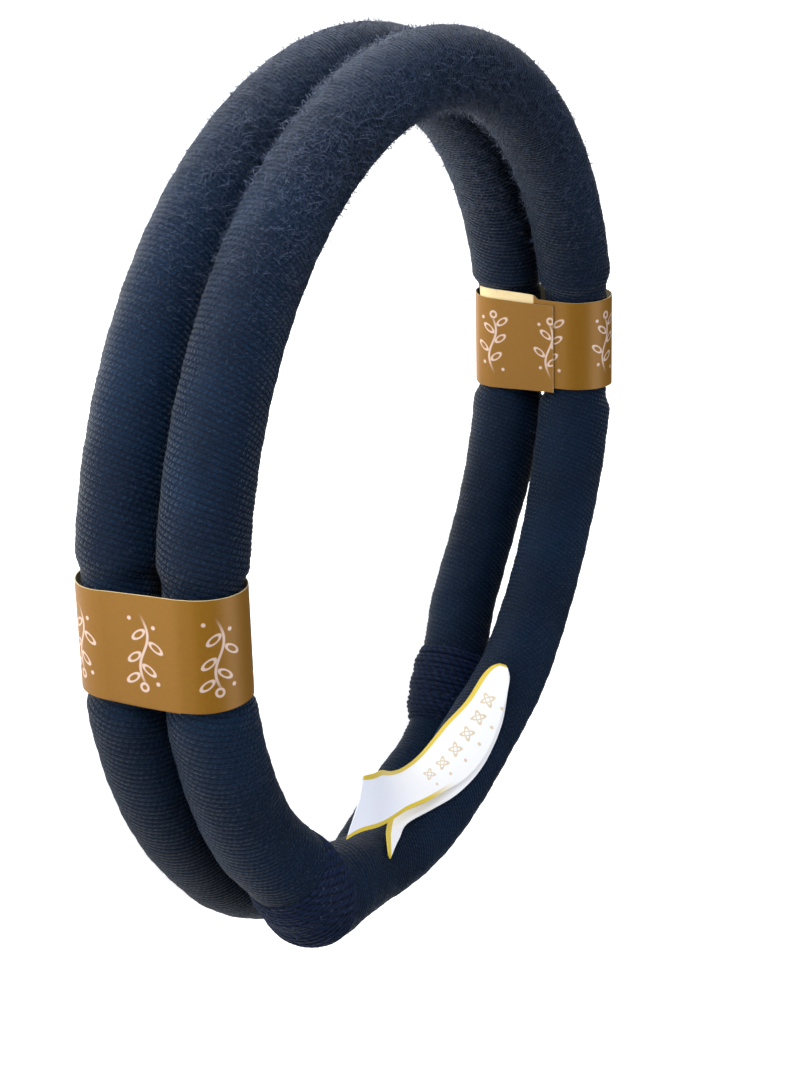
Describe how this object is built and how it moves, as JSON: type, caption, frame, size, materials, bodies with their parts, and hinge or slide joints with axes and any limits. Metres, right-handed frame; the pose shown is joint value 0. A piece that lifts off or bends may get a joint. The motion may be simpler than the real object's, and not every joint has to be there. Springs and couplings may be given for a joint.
{
  "type": "igal head cord",
  "caption": "Ring of thick wound wool cord coiled double, with bound joins, a folded satin label and paper bands, worn to hold a headscarf.",
  "frame": {"origin": "on the floor under the middle of the outline, with the ring lying on its lower coil", "axes": "+Z is the ring's axis, up from the lower coil to the upper one; +Y towards the bound joins and the label, the back of the head when worn; +X towards the near paper band"},
  "size_m": [0.2306, 0.2278, 0.0432],
  "materials": {
    "wound_wool": "fine wound wool yarn, matt, hairy",
    "binding_yarn": "thick soft yarn, matt",
    "band_paper": "smooth printed paper, soft sheen",
    "label_satin": "satin ribbon"
  },
  "bodies": {
    "root": {"lower_coil": "wound_wool", "upper_coil": "wound_wool", "lower_binding": "binding_yarn", "upper_binding": "binding_yarn", "near_paper_band": "band_paper", "far_paper_band": "band_paper", "satin_label": "label_satin"}
  },
  "joints": []
}
